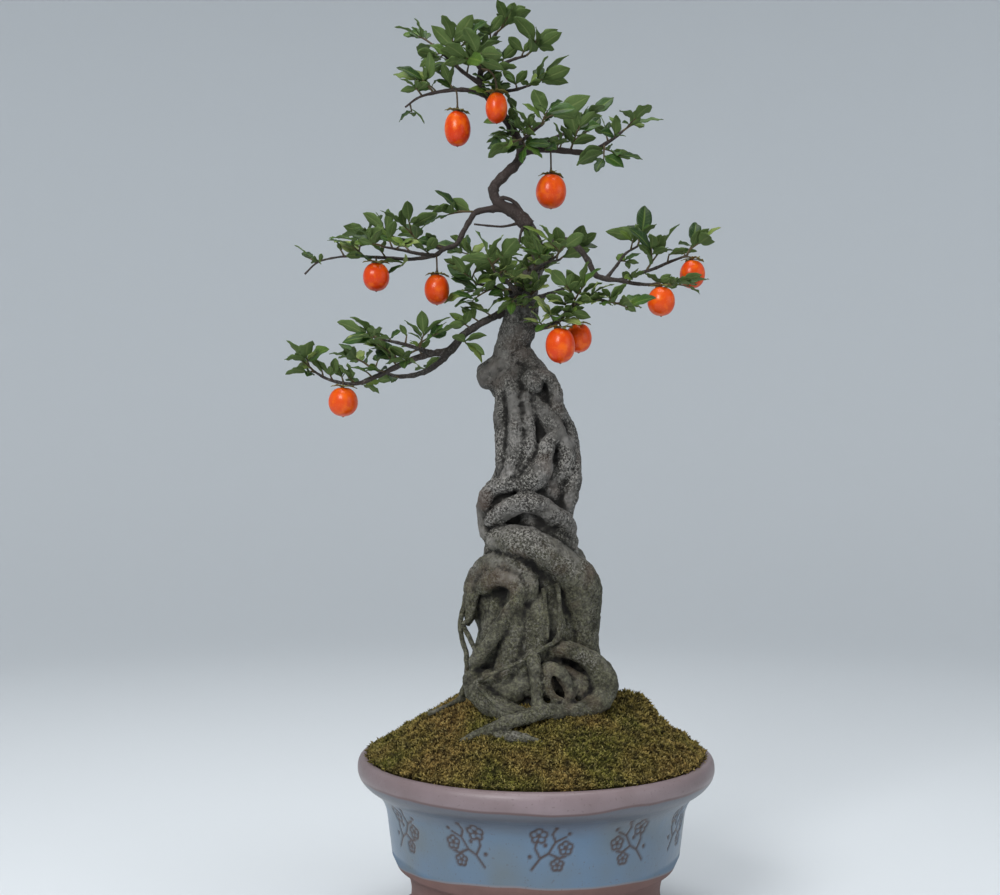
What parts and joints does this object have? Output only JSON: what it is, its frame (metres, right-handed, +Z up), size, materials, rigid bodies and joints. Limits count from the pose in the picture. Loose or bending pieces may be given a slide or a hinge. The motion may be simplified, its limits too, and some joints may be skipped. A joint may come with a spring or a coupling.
{
  "type": "chinese persimmon bonsai",
  "caption": "Persimmon bonsai with a braided root trunk, leafy pads and hanging orange fruits, in a round glazed pot with a moss mound.",
  "frame": {"origin": "centre of the flat underside of the pot", "axes": "+Z up along the pot's axis and the trunk, -Y towards the tree's front, +X to the right of that front"},
  "size_m": [0.3679, 0.3008, 0.7888],
  "materials": {
    "pot_glaze": "satin",
    "soil": "matte",
    "moss": "matte",
    "bark": "matte",
    "leaf": "satin",
    "fruit_skin": "gloss",
    "calyx": "matte"
  },
  "bodies": {
    "root": {"pot": "pot_glaze", "soil": "soil", "moss": "moss", "wood": "bark", "spray_1": "leaf", "spray_2": "leaf", "spray_3": "leaf", "spray_4": "leaf", "spray_5": "leaf", "spray_6": "leaf", "spray_7": "leaf", "spray_8": "leaf", "spray_9": "leaf", "spray_10": "leaf", "spray_11": "leaf", "spray_12": "leaf", "spray_13": "leaf", "spray_14": "leaf", "spray_15": "leaf", "spray_16": "leaf", "spray_17": "leaf", "spray_18": "leaf", "spray_19": "leaf", "spray_20": "leaf", "spray_21": "leaf", "spray_22": "leaf", "spray_23": "leaf", "spray_24": "leaf", "spray_25": "leaf", "spray_26": "leaf", "spray_27": "leaf", "spray_28": "leaf", "spray_29": "leaf", "spray_30": "leaf", "spray_31": "leaf", "spray_32": "leaf", "spray_33": "leaf", "spray_34": "leaf", "spray_35": "leaf", "spray_36": "leaf", "fruit_1": "fruit_skin", "calyx_1": "calyx", "fruit_2": "fruit_skin", "calyx_2": "calyx", "fruit_3": "fruit_skin", "calyx_3": "calyx", "fruit_4": "fruit_skin", "calyx_4": "calyx", "fruit_5": "fruit_skin", "calyx_5": "calyx", "fruit_6": "fruit_skin", "calyx_6": "calyx", "fruit_7": "fruit_skin", "calyx_7": "calyx", "fruit_8": "fruit_skin", "calyx_8": "calyx", "fruit_9": "fruit_skin", "calyx_9": "calyx", "fruit_10": "fruit_skin", "calyx_10": "calyx"}
  },
  "joints": []
}
